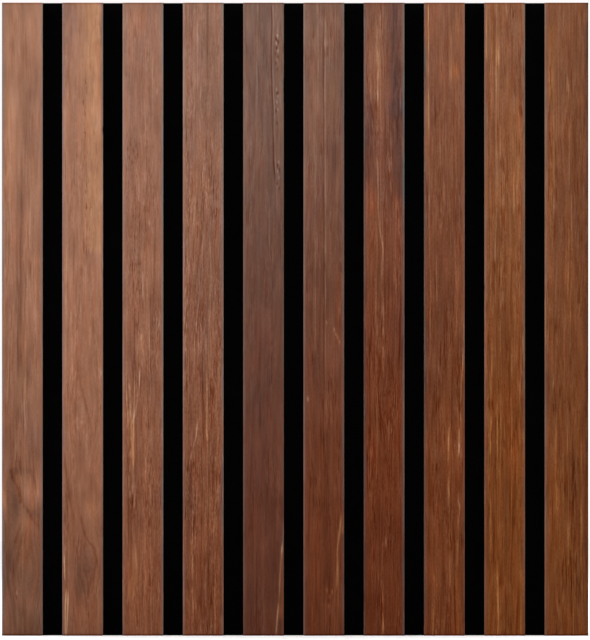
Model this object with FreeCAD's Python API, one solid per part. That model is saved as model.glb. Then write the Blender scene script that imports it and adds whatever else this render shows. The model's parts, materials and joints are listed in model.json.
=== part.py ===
import FreeCAD
import Part
import math
import os

# Acoustic slat wall panel: veneered battens stapled to a board of pressed felt.
# The panel is upright, as on a wall. +X runs across the slats and +Z up along them.
# The wall plane is Y = 0 and the veneer faces -Y.
# The origin is the middle of the felt's back. All sizes are in millimetres.

# Panel
PANEL_HEIGHT = 420.0
SLAT_COUNT = 10
SLAT_PITCH = 40.0            # left edge to left edge
SLAT_WIDTH = 27.0
LAST_SLAT_WIDTH = 29.0       # the slat at the right end is wider
FELT_THICKNESS = 9.0
CORE_DEPTH = 11.4            # MDF batten, front to back
VENEER_THICKNESS = 0.6
ARRIS_RADIUS = 0.4           # eased long edges of the veneer

# Staples, driven from behind with the crown across the slat
STAPLE_ROWS = 3
STAPLE_END_INSET = 40.0      # first and last row, from the panel's ends
STAPLE_CROWN = 12.8          # over the legs
STAPLE_BITE = 7.5            # leg in the core
STAPLE_SINK = 0.5            # crown below the felt's back
STAPLE_POINT = 1.0           # length of the chisel point
WIRE_WIDTH = 0.95            # along the slat
WIRE_THICKNESS = 0.65        # in the plane of the staple
BEND_RADIUS = 0.5            # inside of the bends
STAPLE_CLEARANCE = 0.05      # round the wire, in felt and core

# Places that follow from the sizes above
PANEL_WIDTH = (SLAT_COUNT - 1) * SLAT_PITCH + LAST_SLAT_WIDTH
PANEL_LEFT = -PANEL_WIDTH / 2
PANEL_RIGHT = PANEL_WIDTH / 2
PANEL_BOTTOM = -PANEL_HEIGHT / 2
FELT_FRONT = -FELT_THICKNESS
CORE_FRONT = FELT_FRONT - CORE_DEPTH
VENEER_FRONT = CORE_FRONT - VENEER_THICKNESS

UP = FreeCAD.Vector(0, 0, 1)


def slat_spans():
    """Left and right X of each slat, from left to right."""
    widths = [SLAT_WIDTH] * (SLAT_COUNT - 1) + [LAST_SLAT_WIDTH]
    lefts = [PANEL_LEFT + index * SLAT_PITCH for index in range(SLAT_COUNT)]
    return [(left, left + width) for left, width in zip(lefts, widths)]


def middle(span):
    left, right = span
    return (left + right) / 2


def staple_heights():
    """Z of each row of staples, from the bottom up."""
    first = PANEL_BOTTOM + STAPLE_END_INSET
    span = PANEL_HEIGHT - 2 * STAPLE_END_INSET
    step = span / (STAPLE_ROWS - 1)
    return [first + row * step for row in range(STAPLE_ROWS)]


def point(x, y):
    return FreeCAD.Vector(x, y, 0)


def line(start, end):
    return Part.LineSegment(start, end).toShape()


def quarter(centre, radius, start_degrees):
    """A quarter circle, counter-clockwise from the given angle."""
    angles = [math.radians(start_degrees + step) for step in (0, 45, 90)]
    points = [point(centre.x + radius * math.cos(a), centre.y + radius * math.sin(a)) for a in angles]
    return Part.Arc(*points).toShape()


def prism(edges, bottom, height):
    """The section bounded by the edges, from Z = bottom upwards."""
    section = Part.Face(Part.Wire(Part.__sortEdges__(edges)))
    section.translate(UP * bottom)
    return section.extrude(UP * height)


def polygon(corners):
    return [line(corners[i - 1], corners[i]) for i in range(len(corners))]


def rectangle(left, right, front, back):
    return polygon([point(left, front), point(right, front), point(right, back), point(left, back)])


def full_height(edges):
    return prism(edges, PANEL_BOTTOM, PANEL_HEIGHT)


def veneer_section(span):
    """Flat strip whose two front edges are rounded over."""
    left, right = span
    shoulder = VENEER_FRONT + ARRIS_RADIUS
    inner_left = left + ARRIS_RADIUS
    inner_right = right - ARRIS_RADIUS
    return [
        line(point(left, shoulder), point(left, CORE_FRONT)),
        line(point(left, CORE_FRONT), point(right, CORE_FRONT)),
        line(point(right, CORE_FRONT), point(right, shoulder)),
        quarter(point(inner_right, shoulder), ARRIS_RADIUS, 270),
        line(point(inner_right, VENEER_FRONT), point(inner_left, VENEER_FRONT)),
        quarter(point(inner_left, shoulder), ARRIS_RADIUS, 180),
    ]


def staple_section(centre):
    """U of bent wire with chisel points, its crown sunk in the felt's back."""
    crown_back = -STAPLE_SINK
    crown_front = crown_back - WIRE_THICKNESS
    tip = FELT_FRONT - STAPLE_BITE
    bevel = tip + STAPLE_POINT
    outer = STAPLE_CROWN / 2
    inner = outer - WIRE_THICKNESS
    outside = BEND_RADIUS + WIRE_THICKNESS
    bend_x = inner - BEND_RADIUS
    bend_y = crown_front - BEND_RADIUS
    left_bend = point(centre - bend_x, bend_y)
    right_bend = point(centre + bend_x, bend_y)
    return [
        line(point(centre - bend_x, crown_back), point(centre + bend_x, crown_back)),
        quarter(right_bend, outside, 0),
        line(point(centre + outer, bend_y), point(centre + outer, tip)),
        line(point(centre + outer, tip), point(centre + inner, bevel)),
        line(point(centre + inner, bevel), point(centre + inner, bend_y)),
        quarter(right_bend, BEND_RADIUS, 0),
        line(point(centre + bend_x, crown_front), point(centre - bend_x, crown_front)),
        quarter(left_bend, BEND_RADIUS, 90),
        line(point(centre - inner, bend_y), point(centre - inner, bevel)),
        line(point(centre - inner, bevel), point(centre - outer, tip)),
        line(point(centre - outer, tip), point(centre - outer, bend_y)),
        quarter(left_bend, outside, 90),
    ]


def staple(centre, height):
    return prism(staple_section(centre), height - WIRE_WIDTH / 2, WIRE_WIDTH)


def slot_section(centre):
    """Room for a staple: open at the felt's back, clear of the wire, with the bends' corners cut off."""
    seat = -STAPLE_SINK - WIRE_THICKNESS - STAPLE_CLEARANCE
    tip = FELT_FRONT - STAPLE_BITE - STAPLE_CLEARANCE
    outer = STAPLE_CROWN / 2 + STAPLE_CLEARANCE
    inner = STAPLE_CROWN / 2 - WIRE_THICKNESS - STAPLE_CLEARANCE
    bend = inner - BEND_RADIUS
    right_half = [
        (outer, 0),
        (outer, tip),
        (inner, tip),
        (inner, seat - BEND_RADIUS),
        (bend, seat),
    ]
    left_half = [(-x, y) for x, y in reversed(right_half)]
    return polygon([point(centre + x, y) for x, y in right_half + left_half])


def staple_slots(centre):
    """The slots of one slat's staples, as one tool to cut with."""
    width = WIRE_WIDTH + 2 * STAPLE_CLEARANCE
    section = slot_section(centre)
    return Part.makeCompound([prism(section, z - width / 2, width) for z in staple_heights()])


def felt_backing():
    board = full_height(rectangle(PANEL_LEFT, PANEL_RIGHT, FELT_FRONT, 0))
    return board.cut([staple_slots(middle(span)) for span in slat_spans()])


def slat_core(span):
    left, right = span
    batten = full_height(rectangle(left, right, CORE_FRONT, FELT_FRONT))
    return batten.cut(staple_slots(middle(span)))


def slat_veneer(span):
    return full_height(veneer_section(span))


def back_staples():
    return Part.makeCompound([staple(middle(span), z) for span in slat_spans() for z in staple_heights()])


def build():
    nodes = {"felt_backing": felt_backing(), "back_staples": back_staples()}
    for number, span in enumerate(slat_spans(), start=1):
        nodes[f"slat_core_{number:02d}"] = slat_core(span)
        nodes[f"slat_veneer_{number:02d}"] = slat_veneer(span)
    return nodes


os.makedirs("parts", exist_ok=True)
for name, shape in build().items():
    shape.exportStep(f"parts/{name}.step")
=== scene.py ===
import json
import math

import bpy
import numpy as np
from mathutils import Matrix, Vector


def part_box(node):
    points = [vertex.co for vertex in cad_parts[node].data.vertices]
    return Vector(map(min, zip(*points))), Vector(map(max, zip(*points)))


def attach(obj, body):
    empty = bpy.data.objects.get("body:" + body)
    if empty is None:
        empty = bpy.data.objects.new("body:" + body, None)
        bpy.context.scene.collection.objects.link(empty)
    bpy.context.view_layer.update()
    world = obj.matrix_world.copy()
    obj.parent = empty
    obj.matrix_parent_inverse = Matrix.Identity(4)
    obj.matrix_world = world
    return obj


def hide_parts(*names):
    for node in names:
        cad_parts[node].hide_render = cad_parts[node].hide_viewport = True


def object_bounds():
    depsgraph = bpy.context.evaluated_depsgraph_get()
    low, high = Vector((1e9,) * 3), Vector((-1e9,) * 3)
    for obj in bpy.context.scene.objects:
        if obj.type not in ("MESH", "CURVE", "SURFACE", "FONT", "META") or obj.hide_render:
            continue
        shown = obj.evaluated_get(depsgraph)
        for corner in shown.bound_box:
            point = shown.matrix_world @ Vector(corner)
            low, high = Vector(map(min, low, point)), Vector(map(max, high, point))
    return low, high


# Acoustic slat wall panel: ten veneered battens on a black felt board, seen straight on.
# Lengths are metres, except in the veneer's own sheet coordinates, which are millimetres:
# u runs across a slat from its left edge, and v runs down it from its top.

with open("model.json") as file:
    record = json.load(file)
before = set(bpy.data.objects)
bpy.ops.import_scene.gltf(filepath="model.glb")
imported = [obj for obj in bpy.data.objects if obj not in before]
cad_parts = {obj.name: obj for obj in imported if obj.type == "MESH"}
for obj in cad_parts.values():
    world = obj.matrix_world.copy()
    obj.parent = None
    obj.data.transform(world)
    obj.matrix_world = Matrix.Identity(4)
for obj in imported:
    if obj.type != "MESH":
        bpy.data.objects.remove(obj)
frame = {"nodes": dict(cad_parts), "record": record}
CAD_LO, CAD_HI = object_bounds()

MM = 0.001
SLAT_NUMBERS = range(1, 11)

# Photograph: the panel fills the frame, and a millimetre at the veneer's face is this many pixels
PHOTO_SIZE = (590, 640)
PIXELS_PER_MM = 1.5073
PANEL_MIDDLE = (295.15, 319.17)
LENS = 800.0
SENSOR = 36.0
CLIP_END = 100.0

# Veneer mesh
ARRIS = 0.4  # radius of the eased long edges, as in the frame
ARRIS_STEPS = 3
END_ARRIS = 0.25  # the sawn ends are only just eased
END_ARRIS_ROWS = (0.0, 0.08, END_ARRIS)
COLUMN_STEP = 0.34
ROW_STEP = 1.2
FIBRE_RELIEF = 0.012
RELIEF_CELL = (1.0, 16.0)  # one fibre of the relief, across and along
MARK_RELIEF = 0.05
LEAST_SHEET = 0.1  # this much of the thickness is left under the deepest dent
NICK_REACH = 0.8
FIRST_SEED = 100  # with the slat's number, the seed of its chance places
SLAT_SHIFT = 37.0  # keeps the noise of one slat apart from that of the next

# Marks: the stops that one of full strength is lighter or darker, and the half width from which on it
# shades all colours alike
MARK_STOPS = {"pale": 1.6, "dark": -1.3}
BROAD = 1.5
THIN_GOLD = 1.8  # a thin golden line is this much stronger than a broad golden mark
LONGEST_TAPER = 8.0  # a streak fades in and out over this length, and a short one over a part
TAPER_PARTS = 3

# Painted shade at the sawn ends, in stops, and how far it reaches
FOOT_SHADE = 2.2
HEAD_SHADE = 0.9
END_SHADE_REACH = 0.8
RELIEF_TONE = 0.12  # how much the relief's fibres show as tone

# Painted highlights along the eased long edges, where they catch the light: their width, their strength at
# the head, and how much of it the foot lacks
RIM_WIDTH = 1.2
RIM_AT_HEAD = 1.1
RIM_FALL = 0.45

# Wavering fields: the middle value, the swing about it, and the cell size across and along the fibres
MARK_WANDER = (0.0, 0.25, 6.0, 14.0)
MARK_UNEVEN = (0.85, 0.45, 3.0, 9.0)
MARK_STRINGY = (0.85, 0.35)  # its cells are as large as the slat's own fibres
RIM_UNEVEN = (0.9, 0.35, 10.0, 18.0)
GRAIN_DRIFT = (0.0, 1.2, 30.0, 90.0)
GRAIN_WAVER = (0.0, 0.35, 9.0, 28.0)
KNOT_PULL = 0.75  # how far the fibres bow round a knot

# Thin lines at chance places between the placed marks: how many a slat has, and their strength
LINES = {
    1: (14, 0.20), 2: (18, 0.26), 3: (36, 0.36), 4: (45, 0.40), 5: (18, 0.18),
    6: (24, 0.32), 7: (45, 0.42), 8: (40, 0.38), 9: (42, 0.38), 10: (42, 0.38),
}
PALE_EVERY = 3  # one line in so many is pale and golden, and the others are dark
PALE_LENGTHS = (40.0, 150.0)
DARK_LENGTHS = (12.0, 70.0)
PALE_SPREAD = (0.4, 1.2)  # the strength of one line, as a share of the slat's
DARK_SPREAD = (0.4, 1.8)
LINE_HALF_WIDTHS = (0.32, 0.50)
LINE_MARGIN = 1.5  # the lines keep off the long edges
LINE_POINTS = 3
LINE_SWAY = 0.5

# Down the slat: fades begin above its head, and from the second place down the fibres show in full
FADE_START = -40.0
CALM_END = 260.0


# Marks in the wood

def streak(kinds, strength, half_width, *points):
    """A line of colour that follows the fibres from point to point."""
    return {"kinds": kinds.split(), "strength": strength, "half_width": half_width, "points": points}


def streaks(kinds, strength, half_width, *lines):
    """Streaks of one kind, strength and width."""
    return [streak(kinds, strength, half_width, *points) for points in lines]


def patch(kinds, strength, centre, radii):
    """A soft oval of colour."""
    return {"kinds": kinds.split(), "strength": strength, "centre": centre, "radii": radii}


def beads(kinds, strength, radii, *centres):
    """Small spots of one size."""
    return [patch(kinds, strength, centre, radii) for centre in centres]


MARKS = {}

# Slat 1: greyish, with a swirl at its foot
MARKS[1] = [
    streak("dark", 0.15, 2.4, (13.5, 0), (13.5, 105), (12.5, 150), (11, 210), (11, 262)),
    streak("grey", 0.2, 1.8, (12, 112), (11.6, 150), (11.2, 190), (11.2, 250)),
    streak("dark", 0.12, 1.8, (11.3, 205), (11.4, 236), (11.3, 256)),
    patch("dark grey", 0.2, (17, 245), (2.5, 8)),
    patch("dark", 0.26, (10.6, 271), (3.5, 10)),
    patch("grey", 0.34, (20.5, 288), (5, 9)),
    patch("pale", 0.12, (20.5, 288), (5, 9)),
    patch("dark", 0.18, (22, 299.5), (4, 4)),
    patch("dark", 0.36, (12, 311), (6, 2.5)),
    patch("dark", 0.36, (7, 316), (2.2, 5)),
    patch("grey dark", 0.28, (8.6, 333), (3.5, 10)),
    patch("pale", 0.28, (19.5, 324), (6, 9)),
    patch("pale", 0.15, (20, 340), (10, 32)),
    patch("dark", 0.24, (25.5, 338), (2.5, 8)),
    patch("rust", 0.9, (15.5, 357), (6, 14)),
    patch("rust pale", 0.24, (14.5, 345), (3.5, 6)),
    patch("gold pale", 0.55, (1.5, 330), (1.6, 9)),
    patch("gold", 0.5, (1.2, 205), (1.5, 18)),
    patch("grey dark", 0.26, (5, 370), (5, 13)),
    patch("grey dark", 0.12, (15, 386), (12, 14)),
    patch("dark", 0.24, (12, 404), (5, 6)),
    patch("pale", 0.22, (20, 400), (5, 8)),
    patch("pale", 0.18, (22.9, 172), (2.5, 3.5)),
    patch("gold", 0.32, (5, 70), (3.5, 70)),
    *streaks("dark", 0.34, 0.7, [(13, 104), (13, 130), (12.4, 161), (12.4, 240)],
             [(10.4, 120), (9.8, 150), (10.2, 200), (10.6, 250)]),
    streak("dark", 0.38, 1.2, (7, 312), (9.5, 319), (14, 331), (19.5, 342), (24, 348)),
    streak("dark", 0.3, 0.6, (6.4, 308), (6.8, 316), (9.5, 320), (11.5, 325), (12.4, 331)),
    *beads("dark", 0.5, (0.8, 1.3), (5.8, 311), (6.8, 315), (10.2, 322), (11.4, 326.5), (12.2, 331),
           (14.6, 334), (17, 337)),
    *beads("dark", 0.18, (1.6, 0.9), (9.5, 309.5), (12.5, 308.4), (15.5, 309), (18.5, 311)),
    patch("dark grey", 0.28, (20, 339), (4, 4)),
    patch("pale", 0.77, (9.8, 391.7), (0.6, 0.9)),
]

# Slat 2: golden at the right of its head, with a dark bow low down
MARKS[2] = [
    streak("gold", 0.7, 6, (19.5, -20), (20, 60), (20.5, 110), (22, 165)),
    patch("grey", 0.5, (3, 12), (5, 32)),
    patch("pores", 1.6, (15.2, 75), (1.6, 26)),
    patch("pores", 1.6, (17, 131), (2, 26)),
    streak("pale", 0.12, 2.5, (9.5, 245), (13, 275), (17, 300), (20, 312)),
    patch("gold", 0.45, (17, 252), (1.5, 7)),
    patch("pale gold", 0.2, (19.5, 335), (5, 8)),
    patch("grey dark", 0.32, (14, 377), (6, 15)),
    patch("dark", 0.09, (14, 362), (14, 20)),
    patch("rust", 0.5, (18, 406), (9, 12)),
    patch("dark", 0.24, (15.4, 90), (1.2, 40)),
    patch("pale", 0.05, (13, 264), (16, 24)),
    patch("pale", 0.05, (13, 402), (16, 16)),
    patch("grey", 0.57, (26.5, 45), (1, 50)),
    *streaks("dark", 0.38, 0.8, [(9.8, 238), (12.4, 254), (15.7, 267), (18.5, 280)],
             [(1.2, 300), (2.6, 312), (4.4, 327), (8.4, 344)]),
    streak("dark", 0.24, 0.9, (8, 262), (9, 282)),
    patch("pale", 0.47, (25.5, 246), (0.8, 3)),
    *streaks("dark", 0.33, 0.8, [(2.5, 325), (4, 345), (5.5, 362)], [(5, 318), (6.5, 345), (7.5, 362)]),
    streak("dark", 0.57, 0.9, (12.6, 340), (14, 350), (17, 357), (22, 363)),
    streak("dark", 0.33, 1, (20.5, 360), (22.5, 370), (20.5, 388)),
    *streaks("pale gold", 0.75, 0.4, [(1.2, 366), (1.6, 382)], [(2.6, 389), (2, 400), (2.2, 420)],
             [(4, 389), (3.4, 405), (3, 420)]),
]

# Slat 3: rough spots high up, and pale slivers of torn fibre lower down, painted as highlights with painted
# shadow in the dark marks beside them
MARKS[3] = [
    patch("gold pale", 0.11, (21, 42), (6, 22)),
    patch("grey", 0.3, (2.5, 32), (2.5, 30)),
    patch("rust", 0.5, (13.5, 12), (8, 12)),
    patch("pores", 0.7, (8.5, 140), (8, 60)),
    patch("rust dark", 0.16, (10.8, 174), (1.8, 4.5)),
    patch("rust", 0.6, (5, 214), (1.8, 5)),
    patch("grey", 0.3, (21, 266), (5, 14)),
    streak("grey", 0.25, 4, (22, 322), (16, 336), (8, 352)),
    patch("gold", 0.45, (8, 382), (5, 20)),
    patch("pale", 0.07, (14, 165), (16, 50)),
    patch("pale", 0.05, (14, 110), (16, 80)),
    patch("dark", 0.11, (14, 330), (16, 34)),
    patch("rust dark", 0.22, (24.5, 370), (3, 7)),
    patch("gold", 0.7, (25.5, 352), (1.5, 9)),
    *beads("dark", 0.8, (0.5, 1.2), (3.4, 97), (5.2, 94), (7, 98), (8.8, 95), (4.4, 103), (6.2, 106),
           (8.2, 103), (10, 101)),
    streak("pale", 0.3, 0.5, (10.5, 115), (10.8, 132)),
    streak("dark", 0.3, 0.7, (8, 120), (9, 150)),
    *streaks("pale", 0.38, 0.5, [(13.2, 178), (13.6, 196)], [(4.3, 314), (4.8, 327)],
             [(7, 314), (6.5, 327)]),
    *beads("dark", 0.51, (0.6, 1.2), (10.4, 212), (10.9, 217), (10.2, 222)),
    streak("gold pale", 0.38, 0.6, (12.4, 219), (12.8, 233)),
    # a small tear: painted shadow (dark) beside the painted highlight on its raised edge (pale)
    patch("dark", 0.85, (11.1, 240.4), (0.7, 1.8)),
    patch("pale", 0.68, (12.8, 238.5), (0.8, 2)),
    streak("pale", 0.68, 0.5, (11.6, 243), (11, 254), (9.6, 265), (7.8, 274), (6.6, 279)),
    *streaks("gold pale", 0.34, 0.6, [(4, 253), (5, 262), (5.2, 276)], [(6, 380), (4.5, 396)],
             [(8.2, 380), (6.6, 397)], [(4.5, 384), (3.2, 398)]),
    streak("gold pale", 0.34, 0.5, (2.6, 258), (3.6, 282)),
    streak("gold", 0.51, 1.2, (5.5, 275), (6.2, 290), (7, 306)),
    patch("rust", 0.51, (4.3, 301), (1.2, 3)),
    streak("pale", 0.42, 0.5, (7.6, 352), (9.2, 372), (8.3, 384), (7.6, 395)),
    patch("pale", 0.42, (22.8, 59), (0.6, 2)),
]

# Slat 4: a leaning line, and a bright sliver below it, both torn fibres painted as a highlight beside a
# shadow
MARKS[4] = [
    patch("pale", 0.08, (4.5, 50), (3.5, 7)),
    patch("grey", 0.3, (24, 84), (3, 22)),
    patch("rust", 0.4, (13, 150), (4, 14)),
    patch("gold", 0.35, (13.5, 340), (5, 24)),
    patch("pale", 0.18, (9.5, 356), (1.5, 3)),
    patch("rust dark", 0.12, (4, 335), (2.5, 22)),
    patch("dark", 0.06, (14, 345), (16, 35)),
    *streaks("dark", 0.42, 0.6, [(16.4, 0), (16.6, 25), (16.4, 66)], [(15.8, 57), (15, 66), (15.4, 78)],
             [(4.9, 302), (4.8, 325)]),
    *streaks("pale", 0.34, 0.6, [(16.8, 60), (16, 70), (16.4, 78)], [(7, 317), (7.6, 340), (8.2, 362)],
             [(9, 317), (9.2, 335)]),
    # the leaning line's torn fibres: painted shadow in the dark marks, painted highlight in the pale ones
    # beside them
    streak("dark", 0.3, 0.8, (14.8, 124), (13.3, 147), (9.6, 180), (8.2, 210), (7, 228)),
    streak("pale", 0.26, 0.7, (16.2, 124), (14.8, 147), (11.2, 180), (9.7, 210), (8.5, 228)),
    *beads("dark", 0.42, (0.5, 1.6), (12, 146), (10.8, 152), (12.6, 156), (9.6, 196), (8.2, 203),
           (9.8, 210), (7.6, 216), (9.4, 222)),
    *beads("pale", 0.34, (0.5, 1.6), (11.4, 149), (12.8, 153), (8.8, 199), (7.4, 207), (8.8, 214),
           (9.8, 219)),
    streak("dark", 0.34, 0.7, (22, 144), (21.5, 158)),
    streak("pale", 0.38, 0.5, (8.2, 210), (6.2, 223.5)),
    # the bright sliver: painted highlight, with painted shadow beside it
    streak("pale", 1, 0.5, (9.8, 279), (8.8, 288), (6.6, 296), (5.4, 302)),
    patch("dark", 0.77, (11.6, 286.5), (0.7, 1.2)),
    patch("grey dark", 0.38, (20.8, 379), (1.2, 9)),
]

# Slat 5: the greyest, with a rough line of torn fibre near its right edge, painted as highlights beside
# shadows
MARKS[5] = [
    patch("gold", 0.4, (24.5, 60), (2, 45)),
    patch("pale", 0.12, (2.5, 110), (3, 40)),
    patch("grey", 0.3, (11, 62), (6, 35)),
    patch("rust", 0.25, (12, 112), (5, 14)),
    patch("rust", 0.25, (14, 222), (4, 10)),
    patch("gold", 0.15, (20, 262), (3, 8)),
    streak("dark", 0.13, 2.4, (13, 275), (15.5, 310), (18.5, 345), (19, 380)),
    patch("rust", 0.28, (8, 352), (7, 26)),
    patch("dark grey", 0.14, (4, 392), (4, 20)),
    patch("grey", 0.1, (13, 235), (14, 45)),
    patch("pale", 0.05, (13, 58), (16, 18)),
    patch("grey", 0.15, (13, 264), (16, 22)),
    patch("pale grey", 0.06, (13, 317), (16, 22)),
    # the rough line: painted highlight in the pale streak and beads, painted shadow in the dark ones
    streak("pale", 0.48, 0.45, (19.8, 2), (19.9, 45), (20.6, 75), (21.2, 104), (22, 118), (22.6, 138)),
    streak("dark", 1.2, 0.45, (18.9, 2), (19, 45), (19.7, 75), (20.3, 104), (21.1, 118)),
    *beads("dark", 1.6, (0.5, 1.1), (22, 24), (23.4, 26), (22.4, 30), (21.6, 34), (23.2, 36), (22, 40),
           (23, 44), (22.6, 60), (21.8, 72), (22.4, 80), (22.8, 108), (24, 111), (22.6, 120),
           (23.8, 123)),
    *beads("pale", 1, (0.45, 1.1), (22.8, 22), (22.2, 27), (23.2, 32), (22.6, 38), (22.2, 58), (23.2, 62),
           (22.4, 66), (23, 71), (23.6, 106), (22.8, 112), (23.6, 116), (23, 122)),
    streak("pale", 0.75, 0.45, (26.9, 343), (26.4, 356), (25.7, 366)),
    streak("pale gold", 1, 0.5, (25.9, 360), (24.6, 380), (23.8, 392), (22.6, 406), (21.8, 419)),
    streak("gold rust", 0.88, 1.4, (26.4, 362), (25.8, 380), (25.2, 408)),
]

# Slat 6: a fine straight line down its middle, painted as a highlight beside a shadow
MARKS[6] = [
    patch("gold", 0.45, (19, 62), (4, 16)),
    patch("pale", 0.1, (6, 66), (4, 22)),
    patch("gold pale", 0.2, (13.2, 116.5), (1.5, 4)),
    patch("grey dark", 0.2, (25, 58), (1.5, 10)),
    patch("grey dark", 0.26, (21, 104), (3, 12)),
    patch("rust", 0.7, (22.8, 206), (2, 18)),
    patch("grey", 0.32, (10.4, 256), (2.6, 32)),
    patch("dark", 0.13, (13, 195), (14, 52)),
    patch("pale", 0.06, (5, 250), (3.5, 30)),
    patch("gold", 0.4, (21, 270), (4, 12)),
    streak("dark", 0.27, 2, (14.6, 285), (15.2, 330), (15.5, 360), (16, 385)),
    # the fine line: painted highlight (pale) beside painted shadow (dark)
    streak("pale", 0.5, 0.45, (14.4, 12), (14.4, 100), (14.6, 200), (14.6, 260), (14.3, 304)),
    streak("dark", 0.62, 0.45, (13.4, 12), (13.4, 100), (13.6, 200), (13.6, 260), (13.3, 304)),
    *beads("pale gold", 0.6, (0.6, 1.3), (20.4, 217), (21.6, 220), (22.8, 222), (24, 225), (15.4, 212)),
    patch("pale", 0.84, (3, 263), (0.8, 1.6)),
    streak("pale gold", 0.72, 0.6, (25.2, 340), (24, 352), (22.5, 364), (21.8, 388)),
    streak("pale gold", 0.6, 0.6, (26.8, 340), (26, 352)),
    *beads("gold pale", 0.48, (0.7, 1.4), (15.5, 390), (17.2, 394), (19, 391), (16.6, 400)),
    *streaks("pale", 0.36, 0.6, [(14.3, 398), (14.6, 417)], [(17.5, 398), (17.2, 415)]),
]

# Slat 7: stained grey at the right of its head
MARKS[7] = [
    streak("grey", 1, 5.2, (20.5, -20), (21.2, 30), (22, 60), (22, 76)),
    streak("grey", 0.7, 4, (21.5, 66), (22.5, 90), (23, 112), (23.5, 130)),
    streak("dark", 0.1, 4, (22, 76), (22.5, 90), (23, 112), (23.5, 130)),
    patch("pale", 0.06, (13, 105), (10, 28)),
    streak("grey", 0.42, 3.5, (4, 62), (3.5, 90), (2.5, 116)),
    patch("gold", 0.35, (8, 35), (5, 45)),
    patch("gold pale", 0.34, (5, 132), (5, 13)),
    patch("gold", 0.45, (7, 165), (6, 32)),
    patch("rust", 0.5, (5, 132), (6, 13)),
    patch("pores", 0.7, (9.5, 60), (2, 60)),
    patch("gold", 0.6, (10.2, 146), (2.5, 12)),
    patch("pores", 0.9, (16.5, 263.5), (8, 14)),
    patch("pores", 0.7, (19, 297), (5, 20)),
    patch("pores", 0.6, (12, 350), (9, 40)),
    patch("dark", 0.08, (13, 185), (16, 44)),
    patch("rust", 0.2, (13, 165), (16, 30)),
    patch("rust", 0.6, (4.5, 300), (4, 16)),
    patch("pale", 0.07, (4.5, 300), (4, 16)),
    patch("rust dark", 0.3, (4, 405), (4, 15)),
    streak("rust", 0.56, 0.7, (25.3, 40), (25.4, 60)),
    *streaks("gold pale", 0.44, 0.45, [(8.8, 16), (8.8, 42)], [(9, 46), (9.2, 68)]),
    *beads("pale", 0.48, (0.55, 1.2), (10.2, 82), (12, 84), (11.2, 88), (10, 92)),
    *streaks("gold pale", 0.4, 0.5, [(16, 98), (17, 112), (18.3, 126)],
             [(13, 398), (12.6, 402), (13, 418)]),
    streak("gold pale", 0.48, 0.5, (9, 104), (9.8, 135), (10.8, 150), (12.5, 160), (12.6, 165),
           (11.8, 172), (12, 186), (12.4, 197), (13.2, 210), (13, 246)),
    *beads("pale", 0.32, (0.5, 1.2), (18.5, 266.5), (20, 271), (17.2, 274)),
    *streaks("dark", 0.32, 0.6, [(17, 280), (17.4, 310)], [(21, 285), (21.5, 315)],
             [(4.5, 330), (5, 360)]),
    streak("pale", 0.5, 0.5, (14.6, 336), (14.4, 356)),
    patch("pale", 1.3, (14.6, 358), (0.7, 4)),
    *beads("pale", 0.36, (0.5, 1), (14.6, 391), (16, 393), (14, 396), (16.2, 398)),
]

# Slat 8: bright lines along both long edges: golden wood with painted highlights on torn fibres, and painted
# shadow in the dark lines beside them
MARKS[8] = [
    patch("pores", 1, (2, 53), (1.5, 6)),
    patch("pores", 1.2, (2.4, 165), (1.5, 14)),
    patch("dark", 0.12, (12, 80), (6, 20)),
    patch("gold", 0.8, (22, 14), (2.2, 10)),
    patch("gold rust", 0.9, (20.8, 44.5), (2.2, 6)),
    patch("pores", 0.4, (13, 360), (12, 50)),
    patch("pale", 0.07, (13, 318), (14, 25)),
    patch("grey", 0.24, (13, 240), (14, 50)),
    patch("dark", 0.12, (13, 205), (14, 32)),
    patch("pale", 0.06, (13, 418), (14, 22)),
    # the bright lines near both edges: golden wood, with painted highlights on torn fibres and painted
    # shadow in the dark lines beside them
    streak("gold", 0.42, 1.3, (1.5, 0), (1.8, 118)),
    streak("gold pale", 0.51, 0.4, (2.9, 2), (2.9, 45)),
    streak("gold pale", 0.47, 0.4, (3, 45), (3.4, 118)),
    *streaks("pale", 0.42, 0.4, [(3.6, 118), (3.6, 145)], [(3.7, 145), (4.1, 180), (4.2, 210)]),
    streak("pale", 0.38, 0.4, (4.2, 210), (4.2, 232)),
    streak("dark", 0.3, 0.4, (2.2, 120), (2.8, 180), (3.2, 232)),
    streak("gold pale", 0.26, 0.5, (18, 20), (18.2, 60)),
    *streaks("dark", 0.34, 0.6, [(17, 25), (17.5, 45)], [(20.5, 35), (21, 50)]),
    *streaks("pale", 0.26, 0.45, [(18.4, 80), (18.5, 135)], [(17.3, 135), (17.2, 180)]),
    streak("dark", 0.26, 0.45, (19.6, 90), (19.8, 135)),
    streak("pale", 0.85, 0.45, (26.4, 206), (26, 236), (24.9, 250), (24.4, 264), (23.4, 285)),
    streak("gold", 0.59, 0.9, (25.6, 238), (24.6, 262), (24, 290)),
    streak("pale", 1.5, 0.6, (23.3, 284), (23, 300)),
    streak("pale gold", 0.75, 0.45, (17, 280), (16.2, 292), (15.8, 305)),
    streak("pale", 0.5, 0.45, (16, 316), (16.1, 334)),
    streak("pale", 0.8, 0.45, (22.6, 328), (24, 335), (22.6, 346)),
    streak("gold", 0.59, 0.8, (21.6, 355), (21.8, 372), (22, 418)),
    streak("pale", 0.55, 0.45, (22.2, 358), (22, 374)),
    streak("gold pale", 0.65, 0.45, (7, 380), (6.6, 400), (5.8, 420)),
    patch("grey", 0.59, (26.5, 345), (1, 8)),
    patch("pale grey", 0.55, (26.6, 395), (0.7, 7)),
]

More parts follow.
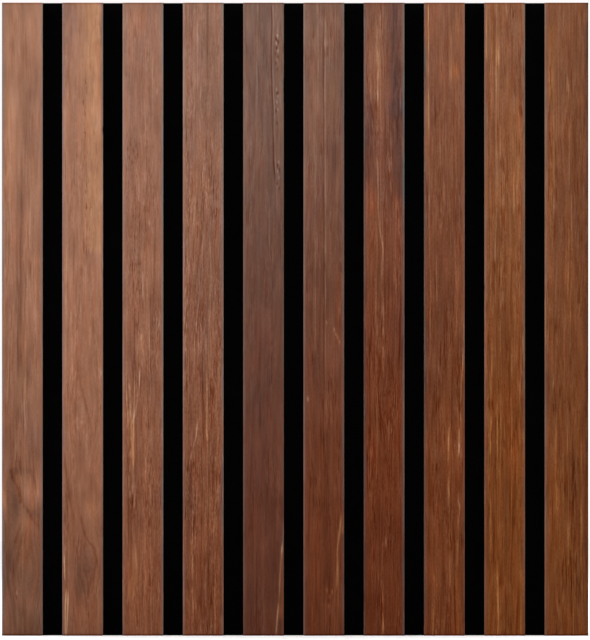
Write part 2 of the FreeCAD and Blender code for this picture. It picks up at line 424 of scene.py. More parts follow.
# Slat 9: even, with many short golden lines
MARKS[9] = [
    patch("pores", 0.8, (5, 60), (4, 5)),
    patch("dark", 0.16, (16, 213), (4, 12)),
    patch("gold", 0.32, (21, 90), (6, 50)),
    patch("gold", 0.4, (19, 180), (7, 34)),
    patch("rust dark", 0.28, (22, 275), (4.5, 9)),
    patch("gold", 0.6, (24, 350), (4, 60)),
    patch("dark", 0.04, (13, 265), (14, 60)),
    patch("dark", 0.05, (13, 104), (16, 24)),
    patch("pale", 0.05, (13, 418), (14, 22)),
    patch("pores", 0.35, (14, 210), (16, 260)),
    streak("gold pale", 0.52, 0.45, (1.6, 0), (1.6, 38)),
    *streaks("pale", 0.36, 0.6, [(1, 140), (0.8, 188)], [(0.8, 191), (0.4, 220)]),
    streak("gold pale", 0.32, 0.45, (9.2, 22), (9.4, 42)),
    streak("pale", 0.36, 0.45, (19.8, 62), (20, 74)),
    *streaks("gold pale", 0.32, 0.5, [(10.6, 82), (10.8, 104)], [(12, 112), (12.2, 134)],
             [(18, 225), (18.2, 250)], [(9, 252), (8.5, 292)], [(17.4, 262), (16.8, 280)],
             [(19.6, 108), (19.4, 140)]),
    streak("gold pale", 0.4, 0.5, (11, 160), (11, 190)),
    streak("gold pale", 0.36, 0.5, (10.8, 195), (10.6, 232)),
    *streaks("dark", 0.36, 0.5, [(14.6, 7), (14.8, 20)], [(10, 150), (10.5, 165)], [(8.5, 75), (9, 90)]),
    streak("pale gold", 0.36, 0.5, (4.2, 330), (4.4, 372)),
    streak("pale gold", 0.32, 0.5, (11, 345), (11, 362)),
    *streaks("dark", 0.36, 0.6, [(19.2, 345), (18.6, 370)], [(9.2, 360), (9, 380)]),
    streak("grey", 0.4, 1.2, (13.5, 320), (14, 350)),
]

# Slat 10: darker towards its right edge
MARKS[10] = [
    streak("gold", 0.65, 3, (4, 14), (5, 50), (4.5, 66)),
    patch("gold", 0.5, (5, 125), (3, 25)),
    streak("dark", 0.19, 7, (24.5, -20), (24.5, 440)),
    streak("dark grey", 0.3, 2.2, (29, -20), (29, 440)),
    streak("grey", 0.6, 2, (29, -20), (29, 300)),
    patch("gold", 0.35, (2, 216), (2, 10)),
    patch("pale", 0.14, (4, 178), (4, 14)),
    patch("dark", 0.14, (17, 222), (3, 12)),
    streak("dark grey", 0.09, 4, (18, 300), (19, 350), (17, 400)),
    patch("gold pale", 0.2, (9, 334), (5, 12)),
    patch("pores", 0.45, (14, 210), (16, 260)),
    patch("pale", 0.1, (14, 418), (16, 24)),
    streak("pale", 0.38, 0.5, (12.5, 7), (11.8, 22)),
    patch("gold pale", 0.43, (15.5, 56), (1, 8)),
    *streaks("dark", 0.38, 0.7, [(15, 80), (15.5, 100)], [(16.5, 328), (17.2, 345)]),
    streak("dark", 0.38, 0.8, (16.5, 140), (17.5, 170)),
    patch("pale", 0.47, (26, 125), (0.4, 4)),
    *streaks("pale", 0.38, 0.6, [(10, 237), (10.2, 255)], [(10, 262), (10.3, 290)]),
    patch("pale", 0.43, (23.2, 267), (0.7, 3)),
]

# Places that the fibres bow round: slat, centre and radii
KNOTS = {
    1: [((8, 330), (9, 22)), ((15, 375), (11, 20))],
    2: [((17, 372), (8, 18)), ((13, 268), (9, 25))],
    3: [((7.5, 99), (5, 9)), ((11.5, 240), (3, 9))],
    4: [((15, 66), (4, 14))],
    7: [((16.5, 263), (7, 14))],
}

# Nicks in the long edges: slat, side, place, half length and depth
NICKS = {
    2: [("right", 84.5, 2.0, 0.35)],
    5: [("right", 53, 2.5, 0.25), ("right", 58, 2.0, 0.3), ("right", 64, 2.5, 0.2)],
    9: [("left", 189, 1.2, 0.25)],
}

# Palettes: the body colour of each slot at the foot of the panel
BODY = {
    "veneer_pale": (0.190, 0.075, 0.0410),
    "veneer_umber": (0.105, 0.0300, 0.0135),
    "veneer_russet": (0.122, 0.0285, 0.0092),
    "veneer_amber": (0.1465, 0.0392, 0.0101),
}
PAINTED_SHEEN_COLOUR = (1.0, 1.12, 1.0)  # painted sheen: a faint pale veil of reflected light, thickest at the head
PALE_EDGE_HIGHLIGHT = (0.33, 0.24, 0.21)  # painted highlight: a pale line where an eased long edge catches the light
GREY_EDGE_HIGHLIGHT = (0.10, 0.165, 0.18)  # painted highlight: a cool grey line where an eased long edge catches the light
GOLD_TINT = (1.36, 1.40, 1.12)
GREY_TINT = (0.54, 0.645, 0.86)
RUST_TINT = (1.18, 0.96, 0.82)

# How far red, green and blue follow the fibres' tone: dark fibres are redder, and pale ones greyer
TONE_REACH = {
    "veneer_pale": (0.62, 1.0, 1.30),
    "veneer_umber": (0.58, 1.0, 1.26),
    "veneer_russet": (0.53, 1.0, 1.38),
    "veneer_amber": (0.54, 1.0, 1.46),
}


def slat(gains, head, painted_sheen, fibres, left_highlight, right_highlight, lean=0.0):
    """One slat's own wood, with painted light: gains on the body colour; the stops of painted light that
    make it lighter at its head, and where that starts and stops to fall; the painted sheen at its head, and
    where it ends; the contrast of its fibres, the share of that at the head, and their width and length; the
    strength and colour of the painted highlight along each long edge; and the lean of the grain."""
    return {
        "gains": gains, "head": head, "painted_sheen": painted_sheen, "fibres": fibres,
        "rims": (left_highlight, right_highlight), "lean": lean,
    }


def dimmed(colour, share):
    return tuple(share * part for part in colour)


SLATS = {
    1: slat((0.785, 0.875, 0.935), (0.78, 160, 430), (0.012, 400), (0.48, 0.35, 2, 12),
            (0.55, dimmed(GREY_EDGE_HIGHLIGHT, 0.8)), (0.3, GREY_EDGE_HIGHLIGHT)),
    2: slat((1.005, 1.025, 1.03), (0.42, 170, 420), (0.028, 460), (0.47, 0.5, 1.3, 5),
            (0.45, (0.17, 0.16, 0.185)), (0.25, GREY_EDGE_HIGHLIGHT)),
    3: slat((0.99, 0.86, 0.755), (0.04, -40, 360), (0.049, 450), (0.76, 0.28, 0.9, 4.5),
            (0.45, PALE_EDGE_HIGHLIGHT), (0.45, GREY_EDGE_HIGHLIGHT)),
    4: slat((0.845, 0.69, 0.575), (0.22, -40, 360), (0.048, 440), (1.05, 0.45, 0.8, 4),
            (0.5, PALE_EDGE_HIGHLIGHT), (0.45, GREY_EDGE_HIGHLIGHT), lean=0.012),
    5: slat((0.94, 1.11, 1.42), (0.25, -40, 210), (0.0395, 368), (0.48, 0.8, 1.5, 7),
            (0.4, dimmed(PALE_EDGE_HIGHLIGHT, 0.6)), (0.3, dimmed(GREY_EDGE_HIGHLIGHT, 0.6))),
    6: slat((1.115, 1.105, 1.05), (0.05, -40, 280), (0.0445, 362), (0.64, 0.6, 1.1, 8),
            (0.45, dimmed(PALE_EDGE_HIGHLIGHT, 0.8)), (0.3, GREY_EDGE_HIGHLIGHT)),
    7: slat((0.955, 1.04, 1.22), (0.2, -40, 300), (0.029, 330), (1.05, 0.55, 0.9, 8),
            (0.4, dimmed(GREY_EDGE_HIGHLIGHT, 0.65)), (0.45, GREY_EDGE_HIGHLIGHT)),
    8: slat((1.105, 1.34, 1.47), (0.35, -40, 200), (0.0225, 345), (1.02, 0.45, 1.2, 8),
            (0.4, dimmed(GREY_EDGE_HIGHLIGHT, 0.65)), (0.3, (0.2, 0.14, 0.11))),
    9: slat((1.03, 1.145, 1.25), (0.27, -40, 270), (0.023, 335), (0.92, 0.7, 1.1, 10),
            (0.35, dimmed(PALE_EDGE_HIGHLIGHT, 0.75)), (0.3, GREY_EDGE_HIGHLIGHT)),
    10: slat((0.95, 1.095, 1.33), (0.23, -40, 300), (0.017, 380), (0.88, 0.6, 1.35, 9.5),
             (0.45, dimmed(PALE_EDGE_HIGHLIGHT, 0.7)), (0, GREY_EDGE_HIGHLIGHT)),
}


# Fields over the sheet

def eased(t):
    return t * t * (3 - 2 * t)


def lattice_noise(rng, u, v, cell_u, cell_v):
    """Smooth noise from -1 to 1, with cells of the given size."""
    across = (u - u.min()) / cell_u
    along = (v - v.min()) / cell_v
    column = across.astype(int)
    row = along.astype(int)
    values = rng.uniform(-1, 1, (row.max() + 2, column.max() + 2))
    right = eased(across - column)
    below = eased(along - row)
    upper = values[row, column] * (1 - right) + values[row, column + 1] * right
    lower = values[row + 1, column] * (1 - right) + values[row + 1, column + 1] * right
    return upper * (1 - below) + lower * below


def wavering(rng, u, v, middle, swing, cell_u, cell_v):
    return middle + swing * lattice_noise(rng, u, v, cell_u, cell_v)


def oval(u, v, centre, radii):
    """Full at the centre, and fading evenly to all sides."""
    across = (u - centre[0]) / radii[0]
    along = (v - centre[1]) / radii[1]
    return np.exp(-across ** 2 - along ** 2)


def streak_field(mark, u, v):
    """How much a streak covers each point: full on its line, fading to its sides and ends."""
    path = np.array(mark["points"], dtype=float)
    start, end = path[0, 1], path[-1, 1]
    taper = min(LONGEST_TAPER, (end - start) / TAPER_PARTS)
    aside = (u - np.interp(v, path[:, 1], path[:, 0])) / mark["half_width"]
    into = np.clip(np.minimum(v - start, end - v) / taper + 0.5, 0, 1)
    return np.exp(-aside * aside) * eased(into)


def mark_cover(mark, u, v):
    """How much a mark covers each point, and whether it is a broad one."""
    if "points" in mark:
        return mark["strength"] * streak_field(mark, u, v), mark["half_width"] >= BROAD
    return mark["strength"] * oval(u, v, mark["centre"], mark["radii"]), mark["radii"][0] >= BROAD


def chance_lines(number, width, height, rng):
    """Thin dark and golden lines along the fibres, fainter near the head."""
    count, strength = LINES[number]
    _, calm, _, _ = SLATS[number]["fibres"]
    lines = []
    for index in range(count):
        pale = index % PALE_EVERY == 0
        length = rng.uniform(*(PALE_LENGTHS if pale else DARK_LENGTHS))
        start = rng.uniform(-length / 2, height - length / 2)
        middle = rng.uniform(LINE_MARGIN, width - LINE_MARGIN)
        across = middle + rng.normal(0, LINE_SWAY, LINE_POINTS).cumsum()
        points = zip(across, np.linspace(start, start + length, LINE_POINTS))
        shown = calm + (1 - calm) * np.clip(start / CALM_END, 0, 1)
        amount = strength * shown * rng.uniform(*(PALE_SPREAD if pale else DARK_SPREAD))
        half_width = rng.uniform(*LINE_HALF_WIDTHS)
        lines.append(streak("pale gold" if pale else "dark", amount, half_width, *points))
    return lines


def mark_fields(number, u, v, rng):
    """One field for each kind of mark, with uneven strength and a slight wander."""
    fields = {kind: np.zeros_like(u) for kind in ("line", "shade", "gold", "grey", "rust", "pores")}
    _, _, fine, long = SLATS[number]["fibres"]
    wandered = u + wavering(rng, u, v, *MARK_WANDER)
    uneven = wavering(rng, u, v, *MARK_UNEVEN)
    stringy = wavering(rng, u, v, *MARK_STRINGY, fine, long)
    for mark in MARKS[number] + chance_lines(number, u.max(), v.max(), rng):
        cover, broad = mark_cover(mark, wandered, v)
        amount = cover * (stringy if broad else uneven)
        for kind in mark["kinds"]:
            if kind in MARK_STOPS:
                fields["shade" if broad else "line"] += MARK_STOPS[kind] * amount
            elif kind == "gold" and not broad:
                fields["gold"] += THIN_GOLD * amount
            else:
                fields[kind] += amount
    return fields


def edge_highlight_field(inwards, down, strength, rng):
    """How much the painted highlight of one edge covers each point: less towards the foot, and uneven."""
    uneven = wavering(rng, inwards, down, *RIM_UNEVEN)
    faded = RIM_AT_HEAD - RIM_FALL * down / down.max()
    return strength * np.exp(-(inwards / RIM_WIDTH) ** 2) * faded * uneven


def grain_lines(number, u, v, rng):
    """The fibre coordinate across the sheet: it leans, drifts and bows round knots."""
    line = u + SLATS[number]["lean"] * v
    line = line + wavering(rng, u, v, *GRAIN_DRIFT) + wavering(rng, u, v, *GRAIN_WAVER)
    for centre, radii in KNOTS.get(number, []):
        line = line - KNOT_PULL * (u - centre[0]) * oval(u, v, centre, radii)
    return line


def arris_drop(distance, radius):
    """How far the face falls away at this distance from an edge."""
    short = np.clip(radius - distance, 0, radius)
    return radius - np.sqrt(radius * radius - short * short)


def column_places(width):
    angles = np.linspace(0, math.pi / 2, ARRIS_STEPS + 1)
    round_over = ARRIS * (1 - np.cos(angles))
    count = round((width - 2 * ARRIS) / COLUMN_STEP)
    flat = np.linspace(ARRIS, width - ARRIS, count + 1)[1:-1]
    return np.concatenate([round_over, flat, width - round_over[::-1]])


def row_places(height):
    round_over = np.array(END_ARRIS_ROWS)
    count = round((height - 2 * END_ARRIS) / ROW_STEP)
    flat = np.linspace(END_ARRIS, height - END_ARRIS, count + 1)[1:-1]
    return np.concatenate([round_over, flat, height - round_over[::-1]])


def edge_nicks(number, u, v, width):
    """How far each point moves inwards where the long edges are nicked."""
    shift = np.zeros_like(u)
    for side, place, half_length, depth in NICKS.get(number, []):
        dent = depth * np.exp(-((v - place) / half_length) ** 2)
        if side == "left":
            shift += dent * np.exp(-u / NICK_REACH)
        else:
            shift -= dent * np.exp(-(width - u) / NICK_REACH)
    return shift


def painted_end_shade(v, height):
    """The stops of painted shade at the sawn ends."""
    foot = FOOT_SHADE * np.exp(-((height - v) / END_SHADE_REACH) ** 2)
    head = HEAD_SHADE * np.exp(-(v / END_SHADE_REACH) ** 2)
    return foot + head


# Veneer pieces

def linked(name, data):
    """A new object in the scene."""
    made = bpy.data.objects.new(name, data)
    bpy.context.scene.collection.objects.link(made)
    return made


def closed_sheet(name, front, back_y):
    """A mesh with the given grid as its front, straight walls and a flat back."""
    rows, columns = front.shape[:2]
    left = front[:, 0].copy()
    right = front[:, -1].copy()
    left[:, 1] = back_y
    right[:, 1] = back_y
    points = np.concatenate([front.reshape(-1, 3), left, right])
    index = np.arange(rows * columns).reshape(rows, columns)
    back_left = rows * columns + np.arange(rows)
    back_right = back_left + rows
    faces = np.stack([index[:-1, :-1], index[1:, :-1], index[1:, 1:], index[:-1, 1:]], -1).reshape(-1, 4)
    walls = np.concatenate([
        np.stack([index[:-1, 0], back_left[:-1], back_left[1:], index[1:, 0]], -1),
        np.stack([index[1:, -1], back_right[1:], back_right[:-1], index[:-1, -1]], -1),
        np.stack([back_left[:-1], back_right[:-1], back_right[1:], back_left[1:]], -1),
    ])
    top = [*index[0].tolist(), int(back_right[0]), int(back_left[0])]
    bottom = [*index[-1][::-1].tolist(), int(back_left[-1]), int(back_right[-1])]
    mesh = bpy.data.meshes.new(name)
    mesh.from_pydata(points.tolist(), [], faces.tolist() + walls.tolist() + [top, bottom])
    smooth = np.zeros(len(mesh.polygons), dtype=bool)
    smooth[:len(faces)] = True
    mesh.polygons.foreach_set("use_smooth", smooth)
    mesh.validate()
    return mesh


def add_vectors(mesh, name, *fields):
    """Stores three fields as a vector at each point. The back takes those of the edge before it."""
    front = np.stack(fields, -1)
    values = np.concatenate([front.reshape(-1, 3), front[:, 0], front[:, -1]])
    made = mesh.attributes.new(name, "FLOAT_VECTOR", "POINT")
    made.data.foreach_set("vector", values.astype(np.float32).ravel())


def veneer_piece(number, slot):
    """One strip: a sheet with eased edges, fibre relief and nicks, which stores its own figure."""
    node = f"slat_veneer_{number:02d}"
    lo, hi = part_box(node)
    width = (hi.x - lo.x) / MM
    height = (hi.z - lo.z) / MM
    thickness = (hi.y - lo.y) / MM
    rng = np.random.default_rng(FIRST_SEED + number)
    u, v = np.meshgrid(column_places(width), row_places(height))
    line = grain_lines(number, u, v, rng)
    marks = mark_fields(number, u, v, rng)
    fibres = lattice_noise(rng, line, v, *RELIEF_CELL)
    (left_strength, _), (right_strength, _) = SLATS[number]["rims"]
    left_highlight = edge_highlight_field(u, v, left_strength, rng)
    right_highlight = edge_highlight_field(width - u, v, right_strength, rng)
    dent = FIBRE_RELIEF * (1 + fibres) + MARK_RELIEF * np.clip(-marks["line"], 0, 1)
    drop = arris_drop(np.minimum(u, width - u), ARRIS) + arris_drop(np.minimum(v, height - v), END_ARRIS)
    depth = np.minimum(dent + drop, thickness - LEAST_SHEET)
    x = lo.x + (u + edge_nicks(number, u, v, width)) * MM
    front = np.stack([x, lo.y + depth * MM, hi.z - v * MM], -1)
    mesh = closed_sheet(f"veneer_sheet_{number:02d}", front, hi.y)
    # painted shade darkens the tone at the sawn ends
    tone = marks["line"] - painted_end_shade(v, height) + RELIEF_TONE * fibres
    blank = np.zeros_like(u)
    add_vectors(mesh, "grain", line, v, np.full_like(u, SLAT_SHIFT * number))
    add_vectors(mesh, "figure", tone, marks["shade"], marks["pores"])
    add_vectors(mesh, "rims", left_highlight, right_highlight, blank)
    add_vectors(mesh, "tint", marks["gold"], marks["grey"], marks["rust"])
    piece = linked(f"veneer_{number:02d}", mesh)
    mesh.materials.append(veneer_material(number, slot))
    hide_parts(node)
    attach(piece, "root")


# Materials

# The Mix node's sockets for colours
MIX_FIRST = 6
MIX_SECOND = 7
MIX_RESULT = 2

# Noise in the wood: its cell across the fibres, along them and from slat to slat, and its detail
WOOD_NOISE = {
    "fibrous": ((7.0, 50.0, 1.0), 1.0),
    "bands": ((6.0, 150.0, 1.0), 3.0),
    "clouds": ((14.0, 34.0, 1.0), 3.0),
    "wisps": ((3.2, 22.0, 5.0), 2.0),
    "pale_lines": ((0.8, 24.0, 2.0), 0.0),
    "dark_lines": ((0.7, 13.0, 3.0), 0.0),
    "flecks": ((0.6, 2.2, 1.0), 1.0),
    "pits": ((0.6, 4.5, 4.0), 1.0),
    "drift": ((12.0, 80.0, 1.3), 2.0),
    "blush": ((3.2, 36.0, 2.1), 2.0),
}
THREAD_WIDTH = 1.3  # threads are so much wider and longer than the slat's fibres
THREAD_LENGTH = 3.5

# Where a noise of the wood sets in, and where it is full
WOOD_EDGES = {
    "fibrous": (0.40, 0.66),
    "pale_lines": (0.60, 0.74),
    "dark_lines": (0.58, 0.70),
    "pits": (0.58, 0.72),
}

# How strongly each noise of the wood shows, in stops
WOOD_STOPS = {
    "dashes": 2.6, "pale_lines": 0.6, "dark_lines": -1.3, "threads": 2.0, "flecks": 1.2,
    "bands": 0.6, "clouds": 0.8, "wisps": 0.6,
}
PORE_SHARE = 0.2  # pores show this much where the sheet has none of its own
TINT_DRIFT = 0.9
TINT_BLUSH = 2.0

# Ramps: place and colour of each stop
# the felt's ramp is darker than real black felt: painted shade, so the gaps between the slats read as deep
# shadow
FELT_COLOURS = [
    (0.0, (0.0004, 0.0004, 0.0005)),
    (0.5, (0.0010, 0.0010, 0.0011)),
    (0.8, (0.0034, 0.0034, 0.0036)),
    (1.0, (0.016, 0.016, 0.017)),
]
BOARD_COLOURS = [
    (0.0, (0.0035, 0.0033, 0.0032)),
    (0.5, (0.0075, 0.0070, 0.0067)),
    (0.85, (0.017, 0.0155, 0.0145)),
    (1.0, (0.042, 0.036, 0.031)),
]
ZINC_COLOURS = [
    (0.0, (0.34, 0.34, 0.33)),
    (0.5, (0.56, 0.56, 0.55)),
    (1.0, (0.74, 0.74, 0.73)),
]
FLOOR_COLOURS = [
    (0.3, (0.87, 0.865, 0.86)),
    (0.7, (0.90, 0.895, 0.89)),
]

# Felt: thickness and length of a strand, and where the paler fibres shown on its back begin, in millimetres
# from the wall, the front being kept near black as painted shade for the gaps; then how thick those lie, how
# bright they are, and their colour
FELT_STRAND = (0.25, 2.4)
FUZZ_SKIN = (-1.5, -0.3)
FUZZ_EDGE = (0.45, 0.95)
FUZZ_AMOUNT = 0.045
FUZZ_COLOUR = (0.95, 0.95, 1.0)


class Graph:
    """Builds the nodes of one material."""

    def __init__(self, name):
        self.material = bpy.data.materials.new(name)
        self.material.use_nodes = True
        self.tree = self.material.node_tree
        self.shader = self.tree.nodes["Principled BSDF"]

    def feed(self, socket, value):
        if isinstance(value, bpy.types.NodeSocket):
            self.tree.links.new(value, socket)
        else:
            socket.default_value = value

    def add(self, kind, inputs, **settings):
        made = self.tree.nodes.new(kind)
        for key, value in settings.items():
            setattr(made, key, value)
        for key, value in inputs.items():
            self.feed(made.inputs[key], value)
        return made

    def vector(self, name):
        return self.add("ShaderNodeAttribute", {}, attribute_name=name).outputs["Vector"]

    def place(self):
        """The surface's own place in the frame, in millimetres."""
        spot = self.add("ShaderNodeTexCoord", {}).outputs["Object"]
        return self.scaled(spot, 1 / MM)

    def parts(self, vector):
        return self.add("ShaderNodeSeparateXYZ", {0: vector}).outputs[:]

    def math(self, operation, first, second):
        return self.add("ShaderNodeMath", {0: first, 1: second}, operation=operation).outputs[0]

    def product(self, first, second):
        return self.math("MULTIPLY", first, second)

    def total(self, *terms):
        result = terms[0]
        for term in terms[1:]:
            result = self.math("ADD", result, term)
        return result

    def noise(self, vector, size, detail=2.0):
        """Noise about 0.5, with cells of the given size in millimetres."""
        cells = self.add("ShaderNodeVectorMath", {0: vector, 1: size}, operation="DIVIDE").outputs[0]
        made = self.add("ShaderNodeTexNoise", {"Vector": cells, "Scale": 1.0, "Detail": detail})
        return made.outputs["Fac"]

    def centred(self, value, gain):
        """Noise about 0.5 made into noise about 0."""
        return self.product(self.math("SUBTRACT", value, 0.5), gain)

    def mottled(self, middle, *noises):
        """A value about the middle, from pairs of a noise and its gain."""
        return self.total(*[self.centred(noise, gain) for noise, gain in noises], middle)

    def step(self, value, low, high, top=1.0):
        """0 below low, top above high."""
        made = self.add("ShaderNodeMapRange", {0: value, 1: low, 2: high, 3: 0.0, 4: top})
        return made.outputs[0]

    def fade(self, down, start, end, top, foot=0.0):
        """From top at one place down the slat to foot at another."""
        made = self.add("ShaderNodeMapRange", {0: down, 1: start, 2: end, 3: top, 4: foot},
                        interpolation_type="SMOOTHSTEP")
        return made.outputs[0]

    def ramp(self, value, stops):
        made = self.add("ShaderNodeValToRGB", {0: value})
        band = made.color_ramp.elements
        while len(band) < len(stops):
            band.new(1.0)
        for element, (position, colour) in zip(band, stops):
            element.position = position
            element.color = (*colour, 1.0)
        return made.outputs[0]

    def blended(self, way, colour, factor, other):
        made = self.add("ShaderNodeMix", {}, data_type="RGBA", blend_type=way, clamp_factor=True)
        self.feed(made.inputs["Factor"], factor)
        self.feed(made.inputs[MIX_FIRST], colour)
        self.feed(made.inputs[MIX_SECOND], (*other, 1.0))
        return made.outputs[MIX_RESULT]

    def scaled(self, vector, factor):
        return self.add("ShaderNodeVectorMath", {0: vector, "Scale": factor}, operation="SCALE").outputs[0]

    def toned(self, colour, stops, reaches):
        """A colour made lighter or darker by a number of stops, each channel by its own reach."""
        powers = [self.math("POWER", 2.0 ** reach, stops) for reach in reaches]
        gain = self.add("ShaderNodeCombineXYZ", dict(enumerate(powers))).outputs[0]
        return self.add("ShaderNodeVectorMath", {0: colour, 1: gain}, operation="MULTIPLY").outputs[0]

    def finish(self, colour, roughness, height, depth_mm, **fixed):
        bump = self.add("ShaderNodeBump", {"Height": height, "Distance": depth_mm * MM, "Strength": 1.0})
        self.feed(self.shader.inputs["Base Color"], colour)
        self.feed(self.shader.inputs["Roughness"], roughness)
        self.feed(self.shader.inputs["Normal"], bump.outputs[0])
        for key, value in fixed.items():
            self.shader.inputs[key.replace("_", " ")].default_value = value
        return self.material


def wood_noises(graph, grain, fine, long):
    """All the noise in one slat's wood, by name. Its dashes and threads have the slat's own size."""
    kinds = {
        "dashes": ((fine, long, 1.0), 1.0),
        "threads": ((THREAD_WIDTH * fine, THREAD_LENGTH * long, 1.0), 2.0),
        **WOOD_NOISE,
    }
    noises = {name: graph.noise(grain, cell, detail) for name, (cell, detail) in kinds.items()}
    for name, (low, high) in WOOD_EDGES.items():
        noises[name] = graph.step(noises[name], low, high)
    return noises


def wood_texture(graph, noises):
    """The fibres' tone in stops: dashes and lines where the wood is fibrous, threads and flecks all over."""
    fibres = graph.total(
        graph.centred(noises["dashes"], WOOD_STOPS["dashes"]),
        graph.product(noises["pale_lines"], WOOD_STOPS["pale_lines"]),
        graph.product(noises["dark_lines"], WOOD_STOPS["dark_lines"]),
    )
    return graph.total(
        graph.product(fibres, noises["fibrous"]),
        graph.centred(noises["threads"], WOOD_STOPS["threads"]),
        graph.centred(noises["flecks"], WOOD_STOPS["flecks"]),
    )


def wood_tints(graph, colour, noises, contrast):
    """Gold, grey and rust, where the sheet has them and in drifts of their own."""
    gold, grey, rust = graph.parts(graph.vector("tint"))
    drift = graph.centred(noises["drift"], TINT_DRIFT * contrast)
    blush = graph.centred(noises["blush"], TINT_BLUSH)
    colour = graph.blended("MULTIPLY", colour, graph.math("ADD", gold, drift), GOLD_TINT)
    colour = graph.blended("MULTIPLY", colour, graph.math("SUBTRACT", grey, drift), GREY_TINT)
    return graph.blended("MULTIPLY", colour, graph.math("ADD", rust, blush), RUST_TINT)


def painted_edge_highlights(graph, colour, rims):
    """Painted highlights where the eased long edges catch the light."""
    left_highlight, right_highlight, _ = graph.parts(graph.vector("rims"))
    for cover, (_, highlight_colour) in zip((left_highlight, right_highlight), rims):
        colour = graph.blended("MIX", colour, cover, highlight_colour)
    return colour


def veneer_material(number, slot):
    """Oiled walnut: long fibres, short dark pores, pale flecks and the marks stored in the sheet."""
    wood = SLATS[number]
    painted_head_stops, head_end, foot_start = wood["head"]
    sheen_top, sheen_end = wood["painted_sheen"]
    contrast, calm, fine, long = wood["fibres"]
    body = [gain * part for gain, part in zip(wood["gains"], BODY[slot])]
    graph = Graph(f"{slot}_{number:02d}")
    grain = graph.vector("grain")
    down = graph.parts(grain)[1]
    tone, shade, pores = graph.parts(graph.vector("figure"))
    noises = wood_noises(graph, grain, fine, long)
    # painted light: lighter towards the head, as if lit more from above
    painted_head_light = graph.fade(down, head_end, foot_start, painted_head_stops)
    # painted sheen: a pale veil of reflected light, fading down from the head
    painted_sheen = graph.fade(down, FADE_START, sheen_end, sheen_top)
    vivid = graph.fade(down, FADE_START, CALM_END, calm * contrast, contrast)
    pore_depth = graph.product(noises["pits"], graph.total(pores, graph.product(vivid, PORE_SHARE)))
    texture = graph.product(wood_texture(graph, noises), vivid)
    stops = graph.math("ADD", tone, graph.math("SUBTRACT", texture, pore_depth))
    broad = [graph.centred(noises[name], WOOD_STOPS[name]) for name in ("bands", "clouds", "wisps")]
    figure = graph.total(painted_head_light, shade, *broad)
    colour = graph.blended("ADD", (*body, 1.0), painted_sheen, PAINTED_SHEEN_COLOUR)
    colour = graph.toned(graph.scaled(colour, graph.math("POWER", 2.0, figure)), stops, TONE_REACH[slot])
    colour = wood_tints(graph, colour, noises, contrast)
    colour = painted_edge_highlights(graph, colour, wood["rims"])
    roughness = graph.mottled(0.58, (noises["dashes"], 0.25))
    ridges = graph.total(graph.centred(noises["threads"], 0.6), noises["dashes"])
    height = graph.math("SUBTRACT", ridges, graph.product(pore_depth, 0.5))
    return graph.finish(colour, roughness, height, depth_mm=0.04, Specular_IOR_Level=0.02)


def felt_material():
    """Pressed polyester felt: black, with fine fibres lying in every direction; darker than real felt, as
    painted shade for the gaps between the slats, with paler fibres shown only on its back.
    """
    graph = Graph("black_felt")
    spot = graph.place()
    thick, long = FELT_STRAND
    matted = graph.noise(spot, (0.9, 0.9, 0.9), detail=4.0)
    tufts = graph.noise(spot, (14.0, 14.0, 14.0), detail=3.0)
    fibres = graph.noise(spot, (thick, thick, long))
    for size in ((long, thick, thick), (thick, long, thick)):
        fibres = graph.math("MAXIMUM", fibres, graph.noise(spot, size))
    shade = graph.mottled(0.3, (fibres, 1.4), (matted, 0.8), (tufts, 0.5))
    back_skin = graph.step(graph.parts(spot)[1], *FUZZ_SKIN)
    fuzz = graph.total(fibres, graph.centred(matted, 0.8), graph.centred(tufts, 0.3))
    back_fuzz = graph.product(graph.step(fuzz, *FUZZ_EDGE, FUZZ_AMOUNT), back_skin)
    colour = graph.blended("ADD", graph.ramp(shade, FELT_COLOURS), back_fuzz, FUZZ_COLOUR)
    roughness = graph.mottled(0.92, (matted, 0.2))
    height = graph.total(fibres, graph.product(matted, 0.6))
    return graph.finish(colour, roughness, height, depth_mm=0.35, Specular_IOR_Level=0.03)


def fibreboard_material():
    """Black dyed fibreboard: a fine speckle of short fibres, drawn out a little along the slat."""
    graph = Graph("black_mdf")
    spot = graph.place()
    speckle = graph.noise(spot, (0.3, 0.3, 0.5), detail=3.0)
    shreds = graph.noise(spot, (0.4, 0.4, 2.2))
    blotches = graph.noise(spot, (8.0, 8.0, 20.0), detail=3.0)
    shade = graph.mottled(0.45, (speckle, 1.2), (shreds, 0.9), (blotches, 0.6))
    colour = graph.ramp(shade, BOARD_COLOURS)
    roughness = graph.mottled(0.78, (speckle, 0.3))
    height = graph.total(speckle, shreds)
    return graph.finish(colour, roughness, height, depth_mm=0.08, Specular_IOR_Level=0.25)


def steel_material():
    """Galvanised wire: bright zinc with dull blooms and drawing lines along the crown."""
    graph = Graph("staple_steel")
    spot = graph.place()
    drawn = graph.noise(spot, (6.0, 6.0, 0.08))
    bloom = graph.noise(spot, (1.4, 1.4, 1.4), detail=4.0)
    colour = graph.ramp(graph.mottled(0.5, (drawn, 0.5), (bloom, 1.0)), ZINC_COLOURS)
    roughness = graph.mottled(0.36, (bloom, 0.4))
    return graph.finish(colour, roughness, graph.total(drawn, bloom), depth_mm=0.02, Metallic=1.0)


def floor_material():
    """Matt pale paint with a faint mottle."""
    graph = Graph("pale_floor")
    mottle = graph.noise(graph.place(), (60.0, 60.0, 60.0), detail=3.0)
    colour = graph.ramp(mottle, FLOOR_COLOURS)
    return graph.finish(colour, graph.mottled(0.85, (mottle, 0.1)), mottle, depth_mm=0.05)


def dress_node(node, material):
    """Gives a carried-over node its finish."""
    for slot in frame["nodes"][node].material_slots:
        slot.material = material


# Stage

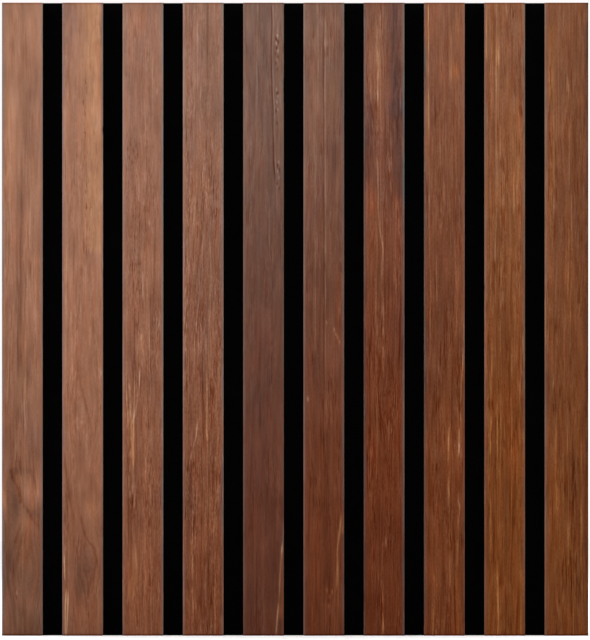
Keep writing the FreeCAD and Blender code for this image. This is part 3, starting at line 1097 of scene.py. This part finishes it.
FLOOR_HALF = 4.0
SUN_STRENGTH = 3.0
SUN_SPREAD = math.radians(60)
EVEN_LIGHT = 0.12
BACKDROP = (1.0, 0.955, 0.945, 1.0)
PANEL_UPPER = (0, 0, 0.1)  # the front lights aim a little above the panel's middle
PANEL_CENTRE = (0, 0, 0)


def floor():
    signs = [(-1, -1), (1, -1), (1, 1), (-1, 1)]
    corners = [(x * FLOOR_HALF, y * FLOOR_HALF, CAD_LO.z) for x, y in signs]
    mesh = bpy.data.meshes.new("floor")
    mesh.from_pydata(corners, [], [(0, 1, 2, 3)])
    piece = linked("floor", mesh)
    mesh.materials.append(floor_material())


def soft_light(name, place, target, size, power):
    lamp = bpy.data.lights.new(name, "AREA")
    lamp.shape = "SQUARE"
    lamp.size = size
    lamp.energy = power
    holder = linked(name, lamp)
    holder.location = place
    holder.rotation_mode = "QUATERNION"
    holder.rotation_quaternion = (Vector(target) - Vector(place)).to_track_quat("-Z", "Y")


def overhead():
    """Even light from straight above, for the floor."""
    lamp = bpy.data.lights.new("overhead", "SUN")
    lamp.energy = SUN_STRENGTH
    lamp.angle = SUN_SPREAD
    linked("overhead", lamp)


def lights():
    soft_light("key", (-0.85, -0.75, 0.8), PANEL_UPPER, size=0.6, power=6.5)
    soft_light("fill", (0.85, -0.75, 0.8), PANEL_UPPER, size=0.6, power=5.0)
    soft_light("over_camera", (0, -1.6, 1.3), PANEL_UPPER, size=0.8, power=4.0)
    overhead()
    soft_light("behind_left", (-1.2, 1.3, 0.7), PANEL_CENTRE, size=0.7, power=14.0)
    soft_light("behind_right", (1.2, 1.3, 0.7), PANEL_CENTRE, size=0.7, power=14.0)


def surroundings():
    """Warm white behind the panel, and a faint even light from all round."""
    world = bpy.data.worlds.new("studio")
    bpy.context.scene.world = world
    world.use_nodes = True
    nodes = world.node_tree.nodes
    links = world.node_tree.links
    even = nodes["Background"]
    even.inputs["Color"].default_value = (1.0, 1.0, 1.0, 1.0)
    even.inputs["Strength"].default_value = EVEN_LIGHT
    seen = nodes.new("ShaderNodeBackground")
    seen.inputs["Color"].default_value = BACKDROP
    choose = nodes.new("ShaderNodeMixShader")
    links.new(nodes.new("ShaderNodeLightPath").outputs["Is Camera Ray"], choose.inputs[0])
    links.new(even.outputs[0], choose.inputs[1])
    links.new(seen.outputs[0], choose.inputs[2])
    links.new(choose.outputs[0], nodes["World Output"].inputs["Surface"])


def camera():
    """Straight on, so far back that the slats' sides hardly show."""
    width, height = PHOTO_SIZE
    view_height = height / PIXELS_PER_MM * MM
    data = bpy.data.cameras.new("camera")
    data.lens = LENS
    data.sensor_width = SENSOR
    data.clip_end = CLIP_END
    holder = linked("camera", data)
    right = (width / 2 - PANEL_MIDDLE[0]) / PIXELS_PER_MM * MM
    up = (PANEL_MIDDLE[1] - height / 2) / PIXELS_PER_MM * MM
    holder.location = (right, CAD_LO.y - view_height * LENS / SENSOR, up)
    holder.rotation_euler = (math.pi / 2, 0, 0)
    bpy.context.scene.camera = holder


slot_of = {part["node"]: part["material_slot"] for part in frame["record"]["subparts"]}
for slat_number in SLAT_NUMBERS:
    veneer_piece(slat_number, slot_of[f"slat_veneer_{slat_number:02d}"])

dress_node("felt_backing", felt_material())
dress_node("back_staples", steel_material())
fibreboard = fibreboard_material()
for slat_number in SLAT_NUMBERS:
    dress_node(f"slat_core_{slat_number:02d}", fibreboard)

floor()
lights()
surroundings()
camera()
bpy.context.scene.view_settings.view_transform = "Standard"
